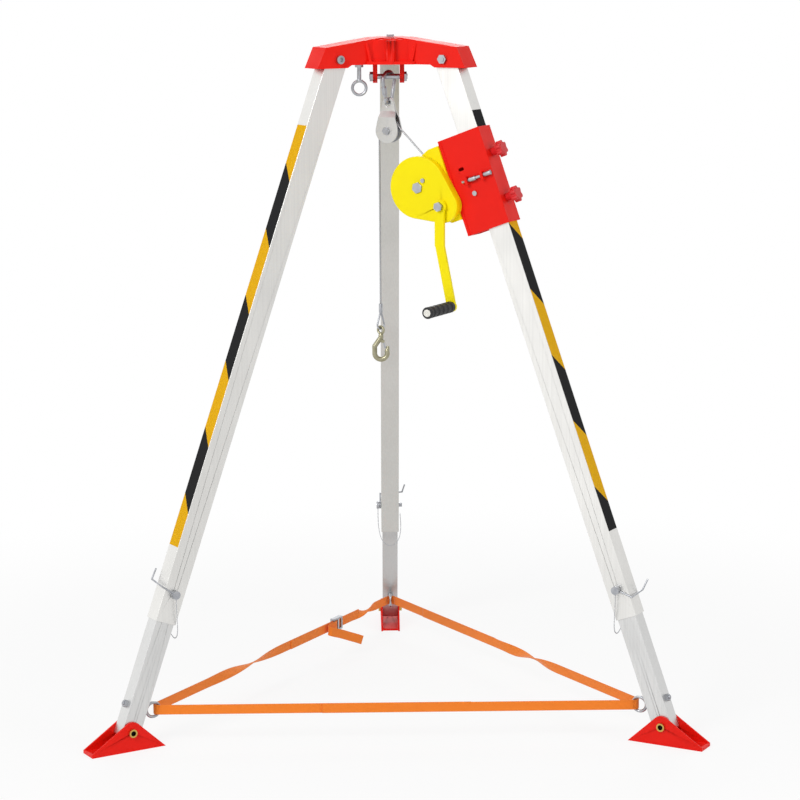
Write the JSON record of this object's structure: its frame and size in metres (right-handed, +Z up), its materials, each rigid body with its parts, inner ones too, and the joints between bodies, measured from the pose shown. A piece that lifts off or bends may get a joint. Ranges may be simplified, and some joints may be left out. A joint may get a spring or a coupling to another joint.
{
  "type": "rescue tripod",
  "caption": "Rescue tripod with telescoping legs hinged in a cast head, hand winch on one leg, pulley, rope hook and a strap round the feet.",
  "frame": {"origin": "ground level, under the middle of the tripod's box", "axes": "+Z up, +X to the right leg's side as the picture shows it, the two front legs toward -Y"},
  "size_m": [1.6284, 1.4102, 1.8241],
  "materials": {
    "cast_red": "powder coat",
    "painted_red": "powder coat",
    "knob_red": "moulded",
    "painted_yellow": "powder coat",
    "tube_aluminium": "anodised",
    "webbing_orange": "woven",
    "grip_black": "ribbed",
    "cap_white": "moulded",
    "wire_rope": "stranded",
    "zinc_steel": "zinc plated"
  },
  "bodies": {
    "head": {"head_casting": "cast_red", "head_bolts": "zinc_steel", "anchor_bolt": "zinc_steel", "eye_bolt": "zinc_steel", "carabiner": "zinc_steel", "pulley_cheeks": "zinc_steel", "sheave_axle": "zinc_steel", "rope_span": "wire_rope", "rope_fall": "wire_rope"},
    "gate": {"carabiner_gate": "zinc_steel"},
    "sheave": {"sheave": "zinc_steel"},
    "rope_tail": {"rope_end": "zinc_steel"},
    "hook": {"hook": "zinc_steel"},
    "latch": {"hook_latch": "zinc_steel"},
    "leg_left_upper": {"upper_tube_left": "tube_aluminium", "lanyard_left": "zinc_steel"},
    "leg_left_lower": {"lower_tube_left": "tube_aluminium", "strap_eye_left": "zinc_steel", "strap_left": "webbing_orange"},
    "foot_left": {"foot_left": "painted_red", "foot_bolt_left": "zinc_steel"},
    "lock_left": {"lock_pin_left": "zinc_steel"},
    "bail_left": {"pin_bail_left": "zinc_steel"},
    "leg_right_upper": {"upper_tube_right": "tube_aluminium", "lanyard_right": "zinc_steel", "winch_bracket": "painted_red", "winch_frame": "painted_yellow", "gear_cover": "painted_yellow", "winch_bolts": "zinc_steel", "drum_axle": "zinc_steel", "ratchet_wheel": "zinc_steel"},
    "leg_right_lower": {"lower_tube_right": "tube_aluminium", "strap_eye_right": "zinc_steel", "strap_right": "webbing_orange"},
    "foot_right": {"foot_right": "painted_red", "foot_bolt_right": "zinc_steel"},
    "lock_right": {"lock_pin_right": "zinc_steel"},
    "bail_right": {"pin_bail_right": "zinc_steel"},
    "leg_back_upper": {"upper_tube_back": "tube_aluminium", "lanyard_back": "zinc_steel"},
    "leg_back_lower": {"lower_tube_back": "tube_aluminium", "strap_eye_back": "zinc_steel", "strap_back": "webbing_orange", "strap_buckle": "zinc_steel"},
    "foot_back": {"foot_back": "painted_red", "foot_bolt_back": "zinc_steel"},
    "lock_back": {"lock_pin_back": "zinc_steel"},
    "bail_back": {"pin_bail_back": "zinc_steel"},
    "drum": {"drum": "zinc_steel", "drum_gear": "zinc_steel", "rope_winding": "wire_rope"},
    "crank": {"pinion_shaft": "zinc_steel", "crank_arm": "painted_yellow", "crank_nut": "zinc_steel"},
    "grip": {"handle_grip": "grip_black", "grip_cap": "cap_white"},
    "pawl": {"pawl": "zinc_steel"},
    "knob_upper": {"clamp_knob_upper": "knob_red"},
    "knob_lower": {"clamp_knob_lower": "knob_red"},
    "plunger": {"plunger": "zinc_steel"}
  },
  "joints": [
    {"name": "fold_left", "type": "hinge", "parent": "head", "child": "leg_left_upper", "pos_m": [-0.15155, -0.30625, 1.76352], "axis": [0.5, -0.866, 0], "range_deg": [0, 12], "deforming": ["strap_left", "strap_right", "strap_back"]},
    {"name": "fold_right", "type": "hinge", "parent": "head", "child": "leg_right_upper", "pos_m": [0.15155, -0.30625, 1.76352], "axis": [0.5, 0.866, 0], "range_deg": [0, 12], "deforming": ["rope_span"]},
    {"name": "fold_back", "type": "hinge", "parent": "head", "child": "leg_back_upper", "pos_m": [0, -0.04375, 1.76352], "axis": [-1, 0, 0], "range_deg": [0, 12]},
    {"name": "extend_left", "type": "slide", "parent": "leg_left_upper", "child": "leg_left_lower", "axis": [-0.3005, -0.1735, -0.9379], "range_m": [0, 0.6]},
    {"name": "extend_right", "type": "slide", "parent": "leg_right_upper", "child": "leg_right_lower", "axis": [0.3005, -0.1735, -0.9379], "range_m": [0, 0.6]},
    {"name": "extend_back", "type": "slide", "parent": "leg_back_upper", "child": "leg_back_lower", "axis": [0, 0.3469, -0.9379], "range_m": [0, 0.6]},
    {"name": "foot_tilt_left", "type": "hinge", "parent": "leg_left_lower", "child": "foot_left", "pos_m": [-0.70049, -0.62318, 0.05], "axis": [0.5, -0.866, 0], "range_deg": [-20, 25]},
    {"name": "foot_tilt_right", "type": "hinge", "parent": "leg_right_lower", "child": "foot_right", "pos_m": [0.70049, -0.62318, 0.05], "axis": [0.5, 0.866, 0], "range_deg": [-20, 25]},
    {"name": "foot_tilt_back", "type": "hinge", "parent": "leg_back_lower", "child": "foot_back", "pos_m": [0, 0.5901, 0.05], "axis": [-1, 0, 0], "range_deg": [-20, 25]},
    {"name": "pin_pull_left", "type": "slide", "parent": "leg_left_upper", "child": "lock_left", "axis": [0.5, -0.866, 0], "range_m": [0, 0.085], "deforming": ["lanyard_left"]},
    {"name": "bail_swing_left", "type": "hinge", "parent": "lock_left", "child": "bail_left", "pos_m": [-0.57342, -0.58307, 0.40171], "axis": [0.5, -0.866, 0], "range_deg": [-18, 54]},
    {"name": "pin_pull_right", "type": "slide", "parent": "leg_right_upper", "child": "lock_right", "axis": [-0.5, -0.866, 0], "range_m": [0, 0.085], "deforming": ["lanyard_right"]},
    {"name": "bail_swing_right", "type": "hinge", "parent": "lock_right", "child": "bail_right", "pos_m": [0.57342, -0.58307, 0.40171], "axis": [0.5, 0.866, 0], "range_deg": [-72, 2]},
    {"name": "pin_pull_back", "type": "slide", "parent": "leg_back_upper", "child": "lock_back", "axis": [-1, 0, 0], "range_m": [0, 0.085], "deforming": ["lanyard_back"]},
    {"name": "bail_swing_back", "type": "hinge", "parent": "lock_back", "child": "bail_back", "pos_m": [-0.0288, 0.46, 0.40171], "axis": [-1, 0, 0], "range_deg": [-18, 54]},
    {"name": "drum_turn", "type": "hinge", "parent": "leg_right_upper", "child": "drum", "pos_m": [0.09907, -0.27595, 1.4287], "axis": [0.5, 0.866, 0], "range_deg": [0, 290]},
    {"name": "crank_turn", "type": "hinge", "parent": "leg_right_upper", "child": "crank", "pos_m": [0.16049, -0.31141, 1.38369], "axis": [0.5, 0.866, 0], "range_deg": [-1070, 5]},
    {"name": "grip_spin", "type": "hinge", "parent": "crank", "child": "grip", "pos_m": [0.1302, -0.43249, 1.1223], "axis": [0.5, 0.866, 0], "continuous": true},
    {"name": "sheave_turn", "type": "hinge", "parent": "head", "child": "sheave", "pos_m": [-0.0052, -0.21575, 1.57052], "axis": [0.5, 0.866, 0], "range_deg": [-5, 470]},
    {"name": "hook_hoist", "type": "slide", "parent": "head", "child": "rope_tail", "axis": [0, 0, 1], "range_m": [0, 0.236], "deforming": ["rope_fall"]},
    {"name": "hook_swing", "type": "hinge", "parent": "rope_tail", "child": "hook", "pos_m": [-0.03031, -0.20125, 1.03602], "axis": [0.788, 0.6157, 0], "range_deg": [-20, 20]},
    {"name": "latch_open", "type": "hinge", "parent": "hook", "child": "latch", "pos_m": [-0.02431, -0.20125, 1.00222], "axis": [0, 1, 0], "range_deg": [0, 30], "stiffness_Nm_per_rad": 0.02, "springref_deg": -11.46},
    {"name": "gate_open", "type": "hinge", "parent": "head", "child": "gate", "pos_m": [-0.01466, -0.22703, 1.66274], "axis": [-0.766, 0.6428, 0], "range_deg": [0, 22], "stiffness_Nm_per_rad": 0.05, "springref_deg": -17.19},
    {"name": "pawl_lift", "type": "hinge", "parent": "leg_right_upper", "child": "pawl", "pos_m": [0.14004, -0.32847, 1.34511], "axis": [0.5, 0.866, 0], "range_deg": [0, 12], "stiffness_Nm_per_rad": 0.02, "springref_deg": -17.19},
    {"name": "knob_turn_upper", "type": "hinge", "parent": "leg_right_upper", "child": "knob_upper", "pos_m": [0.26863, -0.37384, 1.52778], "axis": [0.8122, -0.4689, 0.3469], "continuous": true},
    {"name": "knob_turn_lower", "type": "hinge", "parent": "leg_right_upper", "child": "knob_lower", "pos_m": [0.30588, -0.39535, 1.41148], "axis": [0.8122, -0.4689, 0.3469], "continuous": true},
    {"name": "plunger_pull", "type": "slide", "parent": "leg_right_upper", "child": "plunger", "axis": [0.8122, -0.4689, 0.3469], "range_m": [0, 0.012], "stiffness_N_per_m": 400, "springref_m": -0.004}
  ],
  "couplings": [
    {"joint": "fold_right", "follows": "fold_left", "ratio": 1},
    {"joint": "fold_back", "follows": "fold_left", "ratio": 1},
    {"joint": "extend_right", "follows": "extend_left", "ratio": 1},
    {"joint": "extend_back", "follows": "extend_left", "ratio": 1},
    {"joint": "crank_turn", "follows": "drum_turn", "ratio": -3.6667},
    {"joint": "sheave_turn", "follows": "drum_turn", "ratio": 1.6},
    {"joint": "hook_hoist", "follows": "drum_turn", "m_per_rad": 0.0464}
  ]
}
